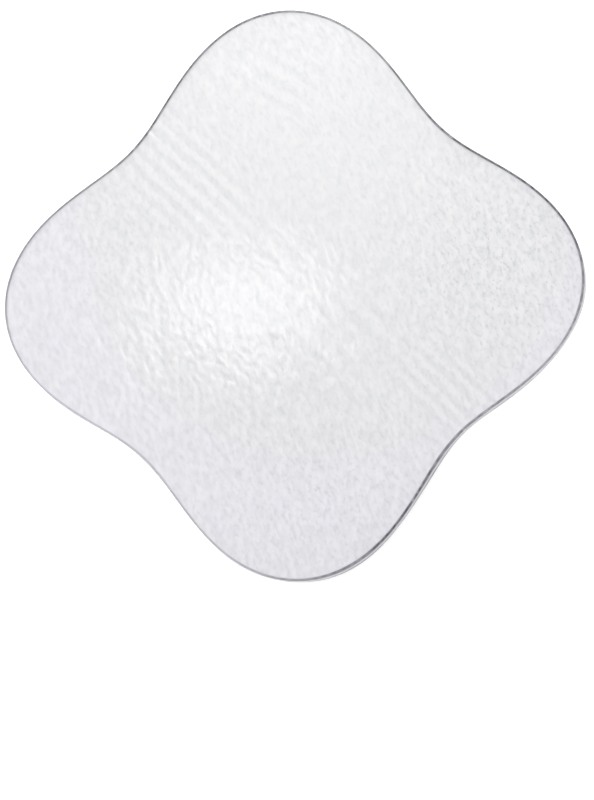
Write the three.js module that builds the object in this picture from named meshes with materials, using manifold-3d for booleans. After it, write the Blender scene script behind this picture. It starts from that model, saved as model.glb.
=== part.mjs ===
// Hydrogel breast pad: one slab of soft clear gel, die-cut with four round lobes.
// Millimetres, +Z up. The origin is the middle of the flat underside, and the lobes point
// along +X, +Y, -X and -Y. The upper face is the moulded one, with shallow ripples in it.

import * as THREE from "three";
import { mergeVertices } from "three/addons/utils/BufferGeometryUtils.js";
import Module from "manifold-3d";

// The cut outline: a circle whose radius swells and shrinks once for each lobe.
const TIP_TO_TIP = 100;
const WAIST_TO_WAIST = 76.4;
const LOBES = 4;
const OUTLINE_POINTS = 144;

// The slab, and the radius at which the soft gel rounds over at its cut edges.
const THICKNESS = 2.6;
const EDGE_ROUND = 0.25;
const EDGE_STEPS = 3;

// The ripples: long shallow troughs side by side, where the gel set in waves.
const RIPPLE_PITCH = 2;
const RIPPLE_WIDTH = 1.7;
const RIPPLE_DEPTH = 0.12;
const RIPPLE_SIDES = 16;
const RIPPLE_RINGS = 6;

// Each field of ripples sits inward of one spot on the rim, given as an angle from +X.
// "inset" is the clear gel between the rim and the field, and "slant" turns its troughs
// away from the line to the middle of the pad.
const RIPPLE_FIELDS = [
  { at: 132, inset: 3.5, length: 22, slant: 5, count: 8 },
  { at: 90, inset: 5, length: 12, slant: 48, count: 5 },
  { at: 326, inset: 4.5, length: 13, slant: -26, count: 5 },
];

const GEL_COLOUR = 0xe7e7ee;
const GEL_ROUGHNESS = 0.22;

const wasm = await Module();
wasm.setup();

// Distance from the pad's middle to its rim, at an angle in radians.
function rimRadius(angle) {
  const mean = (TIP_TO_TIP + WAIST_TO_WAIST) / 4;
  const swell = (TIP_TO_TIP - WAIST_TO_WAIST) / 4;
  return mean + swell * Math.cos(LOBES * angle);
}

function padOutline() {
  const points = [];
  for (let i = 0; i < OUTLINE_POINTS; i++) {
    const angle = (2 * Math.PI * i) / OUTLINE_POINTS;
    const radius = rimRadius(angle);
    points.push(new THREE.Vector2(radius * Math.cos(angle), radius * Math.sin(angle)));
  }
  return new THREE.Shape(points);
}

// The plain slab: the outline at its full thickness, with both cut edges rounded over.
function slabGeometry() {
  const slab = new THREE.ExtrudeGeometry(padOutline(), {
    depth: THICKNESS - 2 * EDGE_ROUND,
    bevelThickness: EDGE_ROUND,
    bevelSize: EDGE_ROUND,
    bevelOffset: -EDGE_ROUND,
    bevelSegments: EDGE_STEPS,
  });
  return slab.translate(0, 0, EDGE_ROUND);
}

// The troughs of one field, as long flat ellipsoids with their middles on the upper face.
function troughGeometries({ at, inset, length, slant, count }) {
  const angle = THREE.MathUtils.degToRad(at);
  const turn = THREE.MathUtils.degToRad(at + slant);
  const fromMiddle = rimRadius(angle) - inset - length / 2;
  const middle = new THREE.Vector2(Math.cos(angle), Math.sin(angle)).multiplyScalar(fromMiddle);
  const across = new THREE.Vector2(-Math.sin(turn), Math.cos(turn)).multiplyScalar(RIPPLE_PITCH);
  const troughs = [];
  for (let i = 0; i < count; i++) {
    const place = middle.clone().addScaledVector(across, i - (count - 1) / 2);
    const trough = new THREE.SphereGeometry(1, RIPPLE_SIDES, RIPPLE_RINGS);
    trough.rotateX(Math.PI / 2);
    trough.scale(length / 2, RIPPLE_WIDTH / 2, RIPPLE_DEPTH);
    trough.rotateZ(turn);
    troughs.push(trough.translate(place.x, place.y, THICKNESS));
  }
  return troughs;
}

// A closed geometry as a solid that can be cut.
function solidOf(geometry) {
  const bare = geometry.clone();
  bare.deleteAttribute("normal");
  bare.deleteAttribute("uv");
  const merged = mergeVertices(bare);
  return new wasm.Manifold(
    new wasm.Mesh({
      numProp: 3,
      vertProperties: merged.attributes.position.array,
      triVerts: new Uint32Array(merged.index.array),
    }),
  );
}

function geometryOf(solid) {
  const mesh = solid.getMesh();
  const geometry = new THREE.BufferGeometry();
  geometry.setAttribute("position", new THREE.BufferAttribute(mesh.vertProperties, 3));
  geometry.setIndex(new THREE.BufferAttribute(mesh.triVerts, 1));
  geometry.computeVertexNormals();
  return geometry;
}

function padGeometry() {
  let slab = solidOf(slabGeometry());
  for (const field of RIPPLE_FIELDS) {
    for (const trough of troughGeometries(field)) {
      slab = slab.subtract(solidOf(trough));
    }
  }
  return geometryOf(slab);
}

const gel = new THREE.MeshStandardMaterial({
  color: GEL_COLOUR,
  roughness: GEL_ROUGHNESS,
  metalness: 0,
});

const hydrogelPad = new THREE.Mesh(padGeometry(), gel);
hydrogelPad.name = "hydrogel_pad";

const breastPad = new THREE.Group();
breastPad.add(hydrogelPad);

export default breastPad;
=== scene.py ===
# %% [markdown]
# A hydrogel breast pad is one soft slab of clear gel. A wide sheet is poured between two liners, one
# of them lightly textured, and the pads are then stamped out of it. So the pad has three surfaces to
# get right: a pebbled upper face with a few ripples in it, a thin cut wall, and a plain underside.
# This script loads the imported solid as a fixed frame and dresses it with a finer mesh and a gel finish.

# %% Load the frame
import math

import bmesh
import bpy
from mathutils import Matrix, Vector, noise


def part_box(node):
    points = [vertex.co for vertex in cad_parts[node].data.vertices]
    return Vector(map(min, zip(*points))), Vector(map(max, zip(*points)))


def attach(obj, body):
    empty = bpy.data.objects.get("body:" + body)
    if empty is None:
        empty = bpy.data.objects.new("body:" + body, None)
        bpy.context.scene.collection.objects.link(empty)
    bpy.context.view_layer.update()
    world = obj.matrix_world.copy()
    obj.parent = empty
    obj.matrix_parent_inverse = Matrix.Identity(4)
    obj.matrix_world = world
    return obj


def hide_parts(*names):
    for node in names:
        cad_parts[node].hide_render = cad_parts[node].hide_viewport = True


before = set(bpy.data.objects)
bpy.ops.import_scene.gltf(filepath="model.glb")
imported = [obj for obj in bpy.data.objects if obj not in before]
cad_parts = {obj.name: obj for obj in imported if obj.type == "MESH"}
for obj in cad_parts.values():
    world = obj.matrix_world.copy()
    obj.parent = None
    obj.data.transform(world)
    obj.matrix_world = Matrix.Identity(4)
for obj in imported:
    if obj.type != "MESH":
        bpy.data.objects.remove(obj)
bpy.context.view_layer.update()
MM = 0.001

# %% [markdown]
# The outline swells and shrinks once for each of four lobes, so two radii say all of it: the one at a
# lobe's tip and the one at a waist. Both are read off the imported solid, so the dressed pad agrees with
# it. The waist is the furthest point in a narrow strip along the diagonal.

# %% Read the outline off the solid
LOBES = 4
PAD_NODE = "hydrogel_pad"
WAIST_STRIP = 1.5 * MM
pad_low, pad_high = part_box(PAD_NODE)
thickness = pad_high[2] - pad_low[2]
tip_radius = (pad_high[0] - pad_low[0]) / 2
waist_angle = math.pi / LOBES
across_waist = Vector((math.cos(waist_angle), math.sin(waist_angle)))
waist_points = [v.co.xy.dot(across_waist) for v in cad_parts[PAD_NODE].data.vertices
                if abs(v.co.xy.cross(across_waist)) < WAIST_STRIP]
waist_radius = max(waist_points)
print("in mm: tip", round(tip_radius / MM, 2), "waist", round(waist_radius / MM, 2),
      "thick", round(thickness / MM, 2))


def rim_radius(angle):
    swell = math.cos(LOBES * angle)
    return (tip_radius + waist_radius) / 2 + swell * (tip_radius - waist_radius) / 2


# %% [markdown]
# The camera comes before the pad, because its place says where the lamp's mirror image falls. The
# photograph looks at the face 14.5 degrees off square, from the lower right, with the pad turned a
# little anticlockwise. A long lens keeps the outline free of perspective.

# %% Place the camera
FRAME_WIDE, FRAME_HIGH = 594, 800
PAD_MIDDLE_PX = Vector((292.5, 292.4))
PX_PER_M = 5850.0
OFF_SQUARE = math.radians(14.5)
OFF_TOWARDS = math.radians(299.0)
PAD_TURN = math.radians(1.9)
CAMERA_FAR = 0.9
SENSOR = 36.0

pad_middle = Vector((0, 0, pad_high[2]))
to_eye = Vector((math.sin(OFF_SQUARE) * math.cos(OFF_TOWARDS),
                 math.sin(OFF_SQUARE) * math.sin(OFF_TOWARDS), math.cos(OFF_SQUARE)))
eye = pad_middle + to_eye * CAMERA_FAR
page_up = Vector((math.sin(PAD_TURN), math.cos(PAD_TURN), 0))


def facing(back, up):
    """A rotation whose own Z is back and whose own Y leans towards up."""
    side = up.cross(back).normalized()
    return Matrix((side, back.cross(side), back)).transposed()


first_look = facing(to_eye, page_up)
aside = (FRAME_WIDE / 2 - PAD_MIDDLE_PX.x) / PX_PER_M
above = (PAD_MIDDLE_PX.y - FRAME_HIGH / 2) / PX_PER_M
aim = pad_middle + first_look.col[0] * aside + first_look.col[1] * above

camera = bpy.data.objects.new("camera", bpy.data.cameras.new("camera"))
bpy.context.collection.objects.link(camera)
camera.matrix_world = Matrix.Translation(eye) @ facing((eye - aim).normalized(), page_up).to_4x4()
camera.data.sensor_width = SENSOR
camera.data.lens = SENSOR * CAMERA_FAR * PX_PER_M / FRAME_HIGH
camera.data.clip_start = 0.01
bpy.context.scene.camera = camera
print("camera at", [round(c, 3) for c in eye], "lens", round(camera.data.lens, 1), "mm")

# %% [markdown]
# The upper face needs small even squares, so that pebbles can be pushed up out of it anywhere. A
# square grid is bent onto the outline with its four corners at the lobes' tips, where the outline
# turns most. Away from the rim the squares stay square, and they lean to the outline only near it.

# %% Shape a grid to the outline
FACE_CELLS = 280
EDGE_ROUND = 0.25 * MM
FACE_INSET = 0.8 * MM
CORNER_TURN = math.pi / 4
face_reach = tip_radius / math.sqrt(2)


def onto_outline(a, b):
    """The place on the pad of a grid point whose two coordinates run from -1 to 1."""
    round_a = a * math.sqrt(1 - b * b / 2)
    round_b = b * math.sqrt(1 - a * a / 2)
    angle = math.atan2(round_b, round_a) + CORNER_TURN
    reach = math.hypot(round_a, round_b) * (rim_radius(angle) - FACE_INSET)
    curved = Vector((reach * math.cos(angle), reach * math.sin(angle)))
    straight = Matrix.Rotation(CORNER_TURN, 2) @ Vector((a, b)) * face_reach
    hold = 1 - (1 - a * a) * (1 - b * b)
    return straight.lerp(curved, hold)


pad = bmesh.new()
bmesh.ops.create_grid(pad, x_segments=FACE_CELLS, y_segments=FACE_CELLS, size=1.0)
for vert in pad.verts:
    place = onto_outline(vert.co.x, vert.co.y)
    vert.co = (place.x, place.y, pad_high[2])
print("face:", len(pad.faces), "squares of about",
      round(math.sqrt(sum(f.calc_area() for f in pad.faces) / len(pad.faces)) / MM, 3), "mm")

# %% [markdown]
# The wall grows out of the face's edge, one loop at a time: first three loops close together, where a
# painted shade darkens the gel towards the rim, then a small round, the straight cut, and a second round
# under it.
# Each loop is an extrude of the open edge, moved to its own inset and height. A stamping die leaves
# the lower edge a little wavy, so the loops drift in and out towards the bottom, by 0.16 mm at most.
# Each vertex also stores how much painted shade it takes there, for the dark line along the cut edge.
# Where that painted shade is darker its band on the face is wider too, and on the lower edge it is
# strongest at the lower right.

# %% Extrude the cut wall
ROUND_STEPS = 4
WAVE = 0.10 * MM
WAVES_ROUND = 14
WAVE_OUT_AT = math.radians(280)
LONG_WAVES_ROUND = 5
LONG_WAVE_TURN = 0.6
LONG_WAVE_SHARE = 0.6
# Painted shade: the band, the wall shades and the eight cut values say how dark the colour is made along
# the cut edge.
PAINTED_SHADE_BAND = [(0.28 * MM, 0.0), (0.20 * MM, 0.3), (0.10 * MM, 0.9)]
BAND_AS_WRITTEN_AT = 0.7
WALL_SHADES = [0.35, 0.45, 1.0]
LOW_EDGE_MEAN, LOW_EDGE_SWING = 0.6, 0.4
PAINTED_CUT_SHADE = [1.0, 0.85, 0.95, 0.75, 0.4, 0.45, 1.0, 0.75]
PAINTED_CUT_SHADE_FROM = math.radians(22.5)
edge_shade_layer = pad.verts.layers.float.new("rim")


def cut_wave(angle):
    """How far the cut drifts outward at the bottom: short waves that ride on a few long ones."""
    short_wave = math.cos(WAVES_ROUND * (angle - WAVE_OUT_AT))
    long_wave = math.sin(LONG_WAVES_ROUND * angle + LONG_WAVE_TURN)
    return WAVE * (short_wave + LONG_WAVE_SHARE * long_wave)


def painted_cut_shade(angle):
    """How much painted shade the cut takes, eased between eight values that lie 45 degrees apart."""
    steps = len(PAINTED_CUT_SHADE)
    turn = (angle - PAINTED_CUT_SHADE_FROM) / (2 * math.pi) % 1.0 * steps
    first = int(turn) % steps
    ease = (1 - math.cos(math.pi * (turn - int(turn)))) / 2
    return PAINTED_CUT_SHADE[first] * (1 - ease) + PAINTED_CUT_SHADE[(first + 1) % steps] * ease


def low_edge_share(angle):
    """How much of that painted shade the lower edge keeps: all of it at the lower right, a fifth opposite.
    """
    return LOW_EDGE_MEAN + LOW_EDGE_SWING * math.cos(angle - OFF_TOWARDS)


def wall_loops():
    """(inset from the rim, height, painted shade there) of each loop, from the face down."""
    top, bottom = pad_high[2], pad_low[2]
    loops = [(EDGE_ROUND + band, top, shade) for band, shade in PAINTED_SHADE_BAND]
    for step in range(ROUND_STEPS + 1):
        turn = math.pi / 2 * step / ROUND_STEPS
        inset = EDGE_ROUND * (1 - math.sin(turn))
        loops.append((inset, top - EDGE_ROUND * (1 - math.cos(turn)), 1.0))
    for step, shade in enumerate(WALL_SHADES, start=1):
        share = step / (len(WALL_SHADES) + 1)
        height = top - EDGE_ROUND - share * (thickness - 2 * EDGE_ROUND)
        loops.append((0.0, height, shade))
    for step in range(ROUND_STEPS + 1):
        turn = math.pi / 2 * step / ROUND_STEPS
        inset = EDGE_ROUND * (1 - math.cos(turn))
        loops.append((inset, bottom + EDGE_ROUND * (1 - math.sin(turn)), 1.0))
    return loops + [(EDGE_ROUND + band, bottom, 0.0) for band, _ in PAINTED_SHADE_BAND[1::-1]]


open_edges = [edge for edge in pad.edges if edge.is_boundary]
for inset, height, shade in wall_loops():
    grown = bmesh.ops.extrude_edge_only(pad, edges=open_edges)["geom"]
    open_edges = [part for part in grown if isinstance(part, bmesh.types.BMEdge) and part.is_boundary]
    for vert in {vert for edge in open_edges for vert in edge.verts}:
        angle = math.atan2(vert.co.y, vert.co.x)
        deep = (pad_high[2] - height) / thickness
        dark = painted_cut_shade(angle)
        past_round = max(0.0, inset - EDGE_ROUND) * (dark - BAND_AS_WRITTEN_AT)
        reach = rim_radius(angle) - inset - past_round + cut_wave(angle) * deep
        vert.co = (reach * math.cos(angle), reach * math.sin(angle), height)
        vert[edge_shade_layer] = shade * dark * (1 - deep * (1 - low_edge_share(angle)))
bmesh.ops.contextual_create(pad, geom=open_edges)
bmesh.ops.recalc_face_normals(pad, faces=pad.faces)
print("pad:", len(pad.faces), "faces, open edges:", sum(edge.is_boundary for edge in pad.edges))

# %% [markdown]
# The relief is real geometry, because the pad is seen close up. Pebbles are noise in two sizes,
# stretched along one direction, as the liner's grain is. They are lower in the upper lobe.

# %% Shape the pebbles
PEBBLE_LONG, PEBBLE_WIDE = 1.5 * MM, 0.85 * MM
PEBBLE_HIGH = 0.062 * MM
PEBBLE_LEAN = math.radians(108)
PEBBLE_DRIFT_LONG = 6 * MM
BROAD_SCALE, BROAD_SHARE, BROAD_SHIFT = 0.5, 0.6, Vector((5, 9, 0))
CALM_AT, CALM_REACH, CALM_SHARE = Vector((6, 29, 0)) * MM, 22 * MM, 0.6


def pebbles(place):
    """The height of the pebbles at a place, with fine and broad ones together."""
    along = Vector((math.cos(PEBBLE_LEAN), math.sin(PEBBLE_LEAN), 0))
    across = Vector((-along.y, along.x, 0))
    drift = PEBBLE_WIDE * noise.noise(place / PEBBLE_DRIFT_LONG)
    grain = Vector((place.dot(along) / PEBBLE_LONG, (place.dot(across) + drift) / PEBBLE_WIDE, 0))
    calm = math.exp(-((place - CALM_AT).length / CALM_REACH) ** 2)
    rough = noise.noise(grain) + BROAD_SHARE * noise.noise(grain * BROAD_SCALE + BROAD_SHIFT)
    return PEBBLE_HIGH * (1 - CALM_SHARE * calm) * rough


# %% [markdown]
# Ripples are waves with a pitch of their own in each field, and they fade out towards its ends and its
# sides. A field is placed from the rim inward. The first three lie over the ripples of the solid and
# run on past them, and the fourth is a faint one across the middle.

# %% Shape the ripples
RIPPLE_HIGH = 0.022 * MM
WANDER, WANDER_LONG, WANDER_WIDE = 0.5 * MM, 7 * MM, 5 * MM
RIPPLE_FIELDS = [
    {"at": 132, "inset": -6 * MM, "length": 34 * MM, "slant": 2,
     "count": 7, "pitch": 2.4 * MM, "strength": 1.1},
    {"at": 90, "inset": 3 * MM, "length": 18 * MM, "slant": 56,
     "count": 5, "pitch": 2.8 * MM, "strength": 0.5},
    {"at": 326, "inset": 0 * MM, "length": 18 * MM, "slant": -14,
     "count": 6, "pitch": 2.15 * MM, "strength": 1.2},
    {"at": 132, "inset": 20 * MM, "length": 44 * MM, "slant": -2,
     "count": 8, "pitch": 3.1 * MM, "strength": 0.45},
]


def ripples(place):
    height = 0.0
    for field in RIPPLE_FIELDS:
        at = math.radians(field["at"])
        turn = at + math.radians(field["slant"])
        from_middle = rim_radius(at) - field["inset"] - field["length"] / 2
        offset = place.xy - Vector((math.cos(at), math.sin(at))) * from_middle
        along = offset.x * math.cos(turn) + offset.y * math.sin(turn)
        across = offset.y * math.cos(turn) - offset.x * math.sin(turn)
        across += WANDER * noise.noise(Vector((along / WANDER_LONG, across / WANDER_WIDE, at)))
        ends = abs(along) / (field["length"] / 2)
        sides = abs(across) / (field["count"] * field["pitch"] / 2)
        fade = max(0.0, 1 - ends ** 2) * max(0.0, 1 - sides ** 4)
        height += field["strength"] * fade * math.cos(2 * math.pi * across / field["pitch"])
    return RIPPLE_HIGH * height


# %% [markdown]
# Broad swells lie under the pebbles and ripples. The face is lowered from its highest point, so it keeps
# within the height of the solid. Each vertex also stores how far down in a hollow it lies, for a painted
# shade that darkens the hollows in the finish. The ripples count for more in that painted shade than their
# height alone gives.

# %% Press the relief into the face
SWELL_LONG, SWELL_HIGH = 9 * MM, 0.05 * MM
HOLLOW_RANGE = 0.062 * MM
RIPPLE_SHADE_WEIGHT = 2.3


def swell(place):
    return SWELL_HIGH * noise.noise(place / SWELL_LONG)


hollow_shade_layer = pad.verts.layers.float.new("hollow")
face_verts = [vert for vert in pad.verts if vert.co.z > pad_high[2] - EDGE_ROUND]
places = [Vector((vert.co.x, vert.co.y, 0)) for vert in face_verts]
pebble_lifts = [pebbles(place) for place in places]
ripple_lifts = [ripples(place) for place in places]
lifts = [a + b + swell(place) for a, b, place in zip(pebble_lifts, ripple_lifts, places)]
highest = max(lifts)
for vert, pebble, ripple, lift in zip(face_verts, pebble_lifts, ripple_lifts, lifts):
    share = 1 - (pad_high[2] - vert.co.z) / EDGE_ROUND
    vert.co.z += (lift - highest) * share
    # Painted shade: deeper hollows get a darker colour, and ripples more so than pebbles.
    hollow = 0.5 - (pebble + RIPPLE_SHADE_WEIGHT * ripple) / HOLLOW_RANGE
    vert[hollow_shade_layer] = max(0.0, min(1.0, hollow))
print("relief in mm:", round(min(lifts) / MM, 3), "to", round(highest / MM, 3))

# %% [markdown]
# Tiny bubbles gather in a few places: the right lobe, the upper left flank and the bottom lobe. Each
# vertex is given how strongly specks and grain show there, and the finish reads it.

# %% Say where the bubbles gather
SPECK_FIELDS = [
    {"middle": Vector((38, 2)) * MM, "reach": 18 * MM, "strength": 0.42},
    {"middle": Vector((-32, 12)) * MM, "reach": 12 * MM, "strength": 0.15},
    {"middle": Vector((4, -36)) * MM, "reach": 20 * MM, "strength": 0.22},
]
SPECKS_ELSEWHERE = 0.03
speck_layer = pad.verts.layers.float.new("specks")
for vert in pad.verts:
    strength = SPECKS_ELSEWHERE
    for field in SPECK_FIELDS:
        far = (vert.co.xy - field["middle"]).length / field["reach"]
        strength += field["strength"] * math.exp(-far * far)
    vert[speck_layer] = strength
print("specks: strength up to", round(max(vert[speck_layer] for vert in pad.verts), 2))

pad_mesh = bpy.data.meshes.new("hydrogel_slab")
pad.to_mesh(pad_mesh)
pad.free()
pad_mesh.shade_smooth()
hydrogel_slab = bpy.data.objects.new("hydrogel_slab", pad_mesh)
bpy.context.collection.objects.link(hydrogel_slab)

# %% [markdown]
# The gel is a clear, faintly cloudy solid. Two fifths of the light that enters goes through it to the
# white surface below, and the rest is scattered inside it, so the finish mixes transmission with a pale
# base colour. Its cut edges look dark, and the finish paints that shade there as a nearly black colour.

# %% Start the gel finish
gel = bpy.data.materials.new("clear_gel")
gel.use_nodes = True
gel_tree = gel.node_tree
gel_tree.nodes.clear()


def add_node(tree, kind, settings=(), **inputs):
    """A new node with its settings, and with each named input set to a value or joined to a socket."""
    node = tree.nodes.new(kind)
    for name, value in dict(settings).items():
        setattr(node, name, value)
    for name, value in inputs.items():
        socket = node.inputs[name.replace("_", " ")]
        if isinstance(value, bpy.types.NodeSocket):
            tree.links.new(value, socket)
        else:
            socket.default_value = value
    return node


def calculate(tree, operation, *values):
    """The result of a Math node."""
    node = tree.nodes.new("ShaderNodeMath")
    node.operation = operation
    for socket, value in zip(node.inputs, values):
        if isinstance(value, bpy.types.NodeSocket):
            tree.links.new(value, socket)
        else:
            socket.default_value = value
    return node.outputs[0]


def blend_colours(tree, factor, first, second):
    node = tree.nodes.new("ShaderNodeMix")
    node.data_type = "RGBA"
    sockets = {s.name: s for s in node.inputs if s.type == "RGBA"}
    for socket, value in ((node.inputs[0], factor), (sockets["A"], first), (sockets["B"], second)):
        if isinstance(value, bpy.types.NodeSocket):
            tree.links.new(value, socket)
        else:
            socket.default_value = value
    return next(s for s in node.outputs if s.type == "RGBA")


def smooth_range(tree, value, low, high):
    """0 at low and 1 at high, eased between them and held beyond them. Low may be the larger one."""
    node = add_node(tree, "ShaderNodeMapRange", {"interpolation_type": "SMOOTHSTEP"})
    for name, number in (("From Min", low), ("From Max", high)):
        node.inputs[name].default_value = number
    tree.links.new(value, node.inputs["Value"])
    return node.outputs["Result"]


# %% [markdown]
# The colour is a neutral pale grey that turns a breath of lavender far from the clearest spot, which lies
# a little above the middle. The lavender is also a little lighter, a painted lift of light for the lower
# and left lobes. Faint clouds run through it, and tiny bubbles sit in it as darker specks. The cut takes a
# painted shade, a dark colour as strong as the mesh says.

# %% Colour the gel
GEL_NEUTRAL = (0.854, 0.854, 0.858, 1.0)
# Painted light: the lavender colour is a little lighter than the neutral one, to lift the lower and left
# lobes.
GEL_LAVENDER_AND_LIGHT = (0.874, 0.866, 0.896, 1.0)
# Painted shade: the nearly black colour that the gel takes along the cut edge.
GEL_EDGE_SHADE = (0.03, 0.03, 0.045, 1.0)
GEL_SPECK = (0.30, 0.30, 0.33, 1.0)
GEL_CLOUD = (0.6, 0.6, 0.64, 1.0)
CLOUDS_PER_M, CLOUD_SHARE = 110.0, 0.10
SPECK_FROM, SPECK_FULL = 0.56, 0.76
SPECK_LONG, SPECK_WIDE = 0.9 * MM, 0.6 * MM
CLEAREST_AT = (6 * MM, 14 * MM, 0.0)
LAVENDER_FROM, LAVENDER_FULL = 36 * MM, 50 * MM

place_on_pad = add_node(gel_tree, "ShaderNodeTexCoord").outputs["Object"]
from_clearest = add_node(gel_tree, "ShaderNodeVectorMath", {"operation": "DISTANCE"})
gel_tree.links.new(place_on_pad, from_clearest.inputs[0])
from_clearest.inputs[1].default_value = CLEAREST_AT
lavender_and_light = smooth_range(gel_tree, from_clearest.outputs["Value"], LAVENDER_FROM, LAVENDER_FULL)
colour = blend_colours(gel_tree, lavender_and_light, GEL_NEUTRAL, GEL_LAVENDER_AND_LIGHT)

clouds = add_node(gel_tree, "ShaderNodeTexNoise", Vector=place_on_pad, Scale=CLOUDS_PER_M, Detail=4.0)
cloudy = calculate(gel_tree, "MULTIPLY", clouds.outputs["Fac"], CLOUD_SHARE)
colour = blend_colours(gel_tree, cloudy, colour, GEL_CLOUD)

along_grain = add_node(gel_tree, "ShaderNodeMapping", {"vector_type": "TEXTURE"}, Vector=place_on_pad,
                       Rotation=(0.0, 0.0, PEBBLE_LEAN), Scale=(SPECK_LONG, SPECK_WIDE, SPECK_WIDE))
bubbles = add_node(gel_tree, "ShaderNodeTexNoise", Vector=along_grain.outputs["Vector"], Scale=1.0,
                   Detail=2.0)
density = add_node(gel_tree, "ShaderNodeAttribute", {"attribute_name": "specks"})
bubble = smooth_range(gel_tree, bubbles.outputs["Fac"], SPECK_FROM, SPECK_FULL)
speck = calculate(gel_tree, "MULTIPLY", bubble, density.outputs["Fac"])
colour = blend_colours(gel_tree, speck, colour, GEL_SPECK)

# Painted shade along the cut edge, as strong as the mesh's rim values say.
rim = add_node(gel_tree, "ShaderNodeAttribute", {"attribute_name": "rim"})
colour = blend_colours(gel_tree, rim.outputs["Fac"], colour, GEL_EDGE_SHADE)
print("colour made by", len(gel_tree.nodes), "nodes")

# %% [markdown]
# The mesh carries the pebbles that are wide enough to see from the side. The finest grain is too small
# for it, so a bump gives that: noise stretched the same way, turned to lie along the liner's grain.
# The same noise varies the gloss and paints shade into the colour in its low places, more so where the
# bubbles gather. Painted shade in the hollows of the relief adds to that.

# %% Grain and gloss
GRAIN_SHADE = 0.17
GRAIN_PER_SPECK = 0.6
HOLLOW_SHADE = 0.27
GEL_RELIEF_SHADE = (0.55, 0.55, 0.60, 1.0)
GRAIN_LONG, GRAIN_WIDE = 1.1 * MM, 0.65 * MM
GRAIN_HIGH = 0.04 * MM
GRAIN_CLEAR_AT, GRAIN_DEEP_AT = 0.55, 0.25
LEAST_ROUGH, MOST_ROUGH = 0.06, 0.16
GEL_IOR = 1.38
GEL_CLEAR_SHARE = 0.4

turned = add_node(gel_tree, "ShaderNodeMapping", {"vector_type": "TEXTURE"}, Vector=place_on_pad,
                  Rotation=(0.0, 0.0, PEBBLE_LEAN), Scale=(GRAIN_LONG, GRAIN_WIDE, GRAIN_WIDE))
grain = add_node(gel_tree, "ShaderNodeTexNoise", Vector=turned.outputs["Vector"], Scale=1.0, Detail=2.0)
grain_bump = add_node(gel_tree, "ShaderNodeBump", Height=grain.outputs["Fac"], Distance=GRAIN_HIGH)
gloss = add_node(gel_tree, "ShaderNodeMapRange", Value=grain.outputs["Fac"])
gloss.inputs["To Min"].default_value = LEAST_ROUGH
gloss.inputs["To Max"].default_value = MOST_ROUGH

hollow = add_node(gel_tree, "ShaderNodeAttribute", {"attribute_name": "hollow"})
hollow_shade = calculate(gel_tree, "MULTIPLY", hollow.outputs["Fac"], HOLLOW_SHADE)
grain_depth = smooth_range(gel_tree, grain.outputs["Fac"], GRAIN_CLEAR_AT, GRAIN_DEEP_AT)
grain_strength = calculate(gel_tree, "MULTIPLY_ADD", density.outputs["Fac"], GRAIN_PER_SPECK,
                           GRAIN_SHADE)
grain_shade = calculate(gel_tree, "MULTIPLY", grain_depth, grain_strength)
shade = calculate(gel_tree, "ADD", hollow_shade, grain_shade)
# Painted shade: the hollows of the relief and the low places of the grain are darkened in the colour.
colour = blend_colours(gel_tree, shade, colour, GEL_RELIEF_SHADE)

gel_surface = add_node(gel_tree, "ShaderNodeBsdfPrincipled", Base_Color=colour,
                       Roughness=gloss.outputs["Result"], Normal=grain_bump.outputs["Normal"],
                       IOR=GEL_IOR, Transmission_Weight=GEL_CLEAR_SHARE)
print("with grain and gloss:", len(gel_tree.nodes), "nodes")

# %% [markdown]
# Clear gel lets lamps through to what lies under it. A ray tracer would leave the floor below it in
# the dark, so a share of every shadow ray passes, and the pad casts the thin shadow of a clear thing.

# %% Let lamps through
LAMPS_PASS = 0.85
gel_path = add_node(gel_tree, "ShaderNodeLightPath")
passing = calculate(gel_tree, "MULTIPLY", gel_path.outputs["Is Shadow Ray"], LAMPS_PASS)
through = add_node(gel_tree, "ShaderNodeBsdfTransparent")
gel_mix = add_node(gel_tree, "ShaderNodeMixShader", Fac=passing)
gel_tree.links.new(gel_surface.outputs[0], gel_mix.inputs[1])
gel_tree.links.new(through.outputs[0], gel_mix.inputs[2])
add_node(gel_tree, "ShaderNodeOutputMaterial", Surface=gel_mix.outputs[0])
pad_mesh.materials.append(gel)
print("whole finish:", len(gel_tree.nodes), "nodes")

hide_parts(PAD_NODE)
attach(hydrogel_slab, "root")

# %% [markdown]
# The floor is white to the camera and still takes the pad's shadow. A little light of its own, which
# only the camera, mirrors and clear things see, lifts the lit floor to white.

# %% Lay the floor
FLOOR_HALF = 3.0
FLOOR_GAP = 0.1 * MM
FLOOR_COLOUR = (0.9, 0.9, 0.9, 1.0)
FLOOR_LIFT = 0.32
floor_shape = bmesh.new()
bmesh.ops.create_grid(floor_shape, x_segments=1, y_segments=1, size=FLOOR_HALF)
bmesh.ops.translate(floor_shape, verts=floor_shape.verts, vec=(0, 0, pad_low[2] - FLOOR_GAP))
floor_mesh = bpy.data.meshes.new("floor")
floor_shape.to_mesh(floor_mesh)
floor_shape.free()
floor = bpy.data.objects.new("floor", floor_mesh)
bpy.context.collection.objects.link(floor)


def seen_directly(tree):
    """1 for rays that show a thing to the camera, a mirror or through clear gel, and 0 for others."""
    path = add_node(tree, "ShaderNodeLightPath")
    seen = path.outputs["Is Camera Ray"]
    for kind in ("Is Glossy Ray", "Is Transmission Ray"):
        seen = calculate(tree, "MAXIMUM", seen, path.outputs[kind])
    return seen


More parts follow.
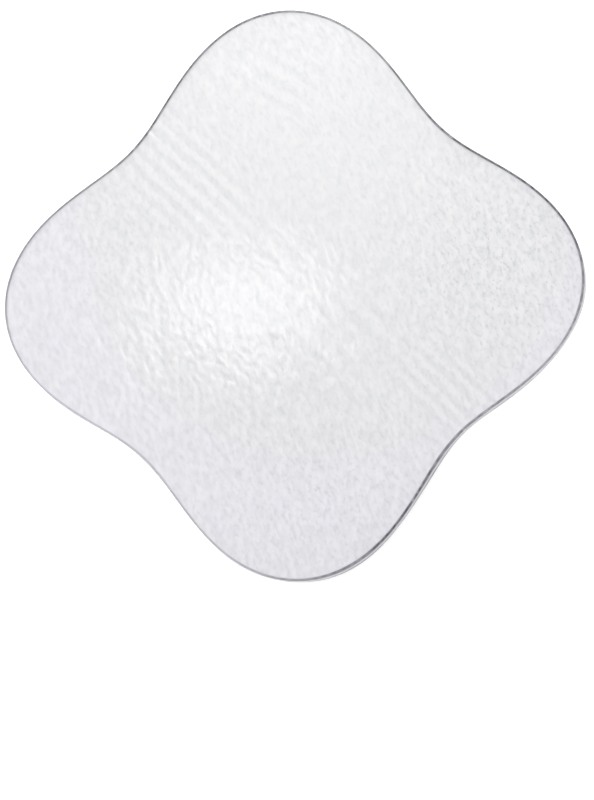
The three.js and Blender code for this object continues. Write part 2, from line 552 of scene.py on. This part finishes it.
paper = bpy.data.materials.new("white_floor")
paper.use_nodes = True
paper_tree = paper.node_tree
paper_tree.nodes.clear()
lift_level = calculate(paper_tree, "MULTIPLY", seen_directly(paper_tree), FLOOR_LIFT)
lift = add_node(paper_tree, "ShaderNodeEmission", Strength=lift_level)
diffuse = add_node(paper_tree, "ShaderNodeBsdfDiffuse", Color=FLOOR_COLOUR)
both = add_node(paper_tree, "ShaderNodeAddShader")
paper_tree.links.new(diffuse.outputs[0], both.inputs[0])
paper_tree.links.new(lift.outputs[0], both.inputs[1])
add_node(paper_tree, "ShaderNodeOutputMaterial", Surface=both.outputs[0])
floor_mesh.materials.append(paper)
print("floor", 2 * FLOOR_HALF, "m wide,", round(FLOOR_GAP / MM, 2), "mm under the pad")

# %% [markdown]
# Four lamps light the pad. A small oval one close by makes the bright patch left of the middle: it
# hangs where the face, taken as a mirror, shows it to the camera at that spot. It lights no matt
# surface, so it adds nothing but its reflection. The other three are round and aim at the pad's middle.

# %% Hang the lamps
GLOW_PX = Vector((238.0, 305.0))
GLOW_LAMP_FAR = 0.09
GLOW_LAMP_WIDE = 0.033
GLOW_LAMP_HIGH = 0.020
GLOW_LAMP_RADIANCE = 4.8
ROUND_LAMPS = [
    {"name": "key_lamp", "place": (1.1, 0.6, 0.6), "wide": 0.6, "radiance": 3.0},
    {"name": "top_lamp", "place": (0.0, 0.21, 0.22), "wide": 0.17, "radiance": 7.8},
    {"name": "fill_lamp", "place": (0.05, -0.30, 0.28), "wide": 0.16, "radiance": 4.0},
]


def on_face(pixel):
    """The point on the pad's face that the camera sees at a pixel."""
    offset = (pixel - PAD_MIDDLE_PX) / PX_PER_M
    return pad_middle + Matrix.Rotation(-PAD_TURN, 3, "Z") @ Vector((offset.x, -offset.y, 0))


def add_lamp(name, place, aim_at, wide, high, radiance):
    """An oval area lamp that the camera doesn't see, with the brightness that its surface has."""
    data = bpy.data.lights.new(name, "AREA")
    data.shape = "ELLIPSE"
    data.size = wide
    data.size_y = high
    data.energy = radiance * math.pi * math.pi * wide * high / 4
    lamp = bpy.data.objects.new(name, data)
    bpy.context.collection.objects.link(lamp)
    lamp.matrix_world = Matrix.Translation(place) @ facing((place - aim_at).normalized(), page_up).to_4x4()
    lamp.visible_camera = False
    return lamp


glow_spot = on_face(GLOW_PX)
seen_from = (eye - glow_spot).normalized()
mirrored = Vector((-seen_from.x, -seen_from.y, seen_from.z))
glow_lamp = add_lamp("glow_lamp", glow_spot + mirrored * GLOW_LAMP_FAR, glow_spot,
                     GLOW_LAMP_WIDE, GLOW_LAMP_HIGH, GLOW_LAMP_RADIANCE)
glow_lamp.visible_diffuse = False
for lamp in ROUND_LAMPS:
    add_lamp(lamp["name"], Vector(lamp["place"]), pad_middle, lamp["wide"], lamp["wide"], lamp["radiance"])
print("glow lamp at", [round(c, 3) for c in glow_lamp.matrix_world.translation])

# %% [markdown]
# A pale room gives an even light from all sides. The camera itself sees a brighter backdrop past the
# edge of the floor.

# %% Light the room
ROOM_LEVEL = 0.6
world = bpy.data.worlds.new("room")
bpy.context.scene.world = world
world.use_nodes = True
world_tree = world.node_tree
world_tree.nodes.clear()
room = add_node(world_tree, "ShaderNodeBackground", Strength=ROOM_LEVEL)
backdrop = add_node(world_tree, "ShaderNodeBackground")
light_path = add_node(world_tree, "ShaderNodeLightPath")
choose = add_node(world_tree, "ShaderNodeMixShader", Fac=light_path.outputs["Is Camera Ray"])
world_tree.links.new(room.outputs[0], choose.inputs[1])
world_tree.links.new(backdrop.outputs[0], choose.inputs[2])
add_node(world_tree, "ShaderNodeOutputWorld", Surface=choose.outputs[0])
bpy.context.scene.view_settings.view_transform = "Standard"
print("room level", ROOM_LEVEL)
